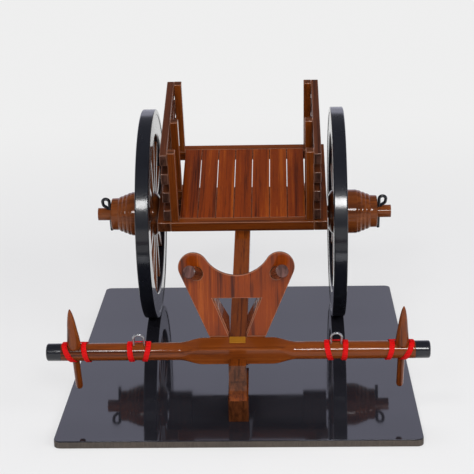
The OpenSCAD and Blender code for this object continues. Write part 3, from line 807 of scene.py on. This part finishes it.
def make_floor():
    """A wide pale floor that keeps the shadows near the cart and fades into the backdrop."""
    size = 12.0
    corners = [(-size, -size, 0), (size, -size, 0), (size, size, 0), (-size, size, 0)]
    me = bpy.data.meshes.new("floor")
    me.from_pydata(corners, [], [(0, 1, 2, 3)])
    floor = bpy.data.objects.new("floor", me)
    bpy.context.scene.collection.objects.link(floor)
    n = Nodes("studio_floor")
    n.set(Roughness=0.9, Specular_IOR_Level=0.0)
    n.shader.inputs["Base Color"].default_value = (0.82, 0.82, 0.82, 1)
    path = n.add("ShaderNodeLightPath")
    seen = n.math("MAXIMUM", path.outputs["Is Camera Ray"], path.outputs["Is Glossy Ray"])
    seen = n.math("MAXIMUM", seen, path.outputs["Is Transmission Ray"])
    glow = n.add("ShaderNodeEmission", {"Color": BACKDROP, "Strength": 1.0})
    place = n.add("ShaderNodeNewGeometry").outputs["Position"]
    reach = n.add("ShaderNodeVectorMath", {0: place}, operation="LENGTH").outputs["Value"]
    shadow_r, fade_r = 0.25, 1.1               # metres from the middle of the plinth
    far = n.add("ShaderNodeMapRange", {"Value": reach, "From Min": shadow_r, "From Max": fade_r,
                                       "To Min": 0.65, "To Max": 1.0}, interpolation_type="SMOOTHSTEP")
    mixed = n.add("ShaderNodeMixShader", {0: n.math("MULTIPLY", seen, far.outputs[0])})
    n.tree.links.new(n.shader.outputs[0], mixed.inputs[1])
    n.tree.links.new(glow.outputs[0], mixed.inputs[2])
    output = next(k for k in n.tree.nodes if k.type == "OUTPUT_MATERIAL")
    n.tree.links.new(mixed.outputs[0], output.inputs["Surface"])
    floor.data.materials.append(n.material)


def make_world():
    """A white backdrop behind the cart up to a low height, and a dim room above it and in front."""
    room = (0.13, 0.13, 0.15, 1)
    front_edge, back_edge = -0.15, 0.25        # how far behind the room turns into the backdrop
    # columns: sine of the height above the horizon, colour
    backdrop = [(0.30, (0.55, 0.55, 0.66, 1)), (0.36, (0.72, 0.72, 0.88, 1)),
                (0.45, (0.80, 0.80, 0.98, 1)), (0.54, room)]
    world = bpy.data.worlds.new("studio")
    bpy.context.scene.world = world
    world.use_nodes = True
    tree = world.node_tree
    tree.nodes.clear()
    place = tree.nodes.new("ShaderNodeTexCoord")
    split = tree.nodes.new("ShaderNodeSeparateXYZ")
    ramp = tree.nodes.new("ShaderNodeValToRGB")
    for _ in backdrop[2:]:
        ramp.color_ramp.elements.new(0.5)
    for element, (height, colour) in zip(ramp.color_ramp.elements, backdrop):
        element.position = height
        element.color = colour
    behind = tree.nodes.new("ShaderNodeMapRange")
    behind.inputs["From Min"].default_value = front_edge
    behind.inputs["From Max"].default_value = back_edge
    surround = tree.nodes.new("ShaderNodeMix")
    surround.data_type = "RGBA"
    surround.inputs[6].default_value = room
    path = tree.nodes.new("ShaderNodeLightPath")
    mixed = tree.nodes.new("ShaderNodeMix")
    mixed.data_type = "RGBA"
    mixed.inputs[7].default_value = BACKDROP
    back = tree.nodes.new("ShaderNodeBackground")
    out = tree.nodes.new("ShaderNodeOutputWorld")
    tree.links.new(place.outputs["Generated"], split.inputs[0])
    tree.links.new(split.outputs["Z"], ramp.inputs["Fac"])
    tree.links.new(split.outputs["Y"], behind.inputs["Value"])
    tree.links.new(behind.outputs[0], surround.inputs[0])
    tree.links.new(ramp.outputs["Color"], surround.inputs[7])
    tree.links.new(path.outputs["Is Camera Ray"], mixed.inputs[0])
    tree.links.new(surround.outputs[2], mixed.inputs[6])
    tree.links.new(mixed.outputs[2], back.inputs["Color"])
    tree.links.new(back.outputs[0], out.inputs["Surface"])


def softbox(name, place, aim, width, height, power):
    lamp = bpy.data.lights.new(name, "AREA")
    lamp.shape = "RECTANGLE"
    lamp.size, lamp.size_y = width, height
    lamp.energy = power
    holder = bpy.data.objects.new(name, lamp)
    holder.location = place
    holder.rotation_euler = (Vector(aim) - Vector(place)).to_track_quat("-Z", "Y").to_euler()
    bpy.context.scene.collection.objects.link(holder)
    return holder


def make_lights():
    """Two boxes over the camera make the highlights; the other lamps only fill."""
    aim = (0, 0, 0.12)
    softbox("front_right", (0.19, -1.25, 0.77), aim, 0.26, 0.24, 6.0)
    softbox("front_left", (-0.25, -1.25, 0.77), aim, 0.12, 0.24, 2.5)
    for fill in (softbox("key", (-0.9, -1.9, 2.2), aim, 0.6, 0.45, 14),
                 softbox("fill", (1.8, -1.5, 1.5), aim, 1.2, 1.0, 22),
                 softbox("top", (0.0, 0.6, 2.6), aim, 1.6, 1.2, 26)):
        fill.visible_glossy = False


def make_camera():
    """The camera: place, downward pitch, turn to the left and roll, lens on a 36 mm sensor."""
    yaw, pitch, roll = math.radians(-1.99), math.radians(17.28), math.radians(-1.23)
    forward = Vector((math.sin(yaw) * math.cos(pitch), math.cos(yaw) * math.cos(pitch), -math.sin(pitch)))
    flat_right = Vector((math.cos(yaw), -math.sin(yaw), 0))
    flat_up = flat_right.cross(forward)
    right = math.cos(roll) * flat_right + math.sin(roll) * flat_up
    up = math.cos(roll) * flat_up - math.sin(roll) * flat_right
    data = bpy.data.cameras.new("camera")
    data.sensor_width = 36
    data.lens = 105.9
    data.clip_end = 50
    camera = bpy.data.objects.new("camera", data)
    turn = Matrix((right, up, -forward)).transposed().to_4x4()
    camera.matrix_world = Matrix.Translation((39.1 * MM, -1231.3 * MM, 505.3 * MM)) @ turn
    bpy.context.scene.collection.objects.link(camera)
    bpy.context.scene.camera = camera


make_camera()
make_floor()
make_world()
make_lights()
make_plinth()
make_eased()
make_pegs()
make_yoke()
make_yoke_caps()
make_yoke_pins()
make_rein_loops()
make_ties()
make_strap()
make_linchpins()
for wheel_side, wheel_sign in SIDES.items():
    make_wheel(wheel_side, wheel_sign)

bpy.context.scene.view_settings.view_transform = "Standard"
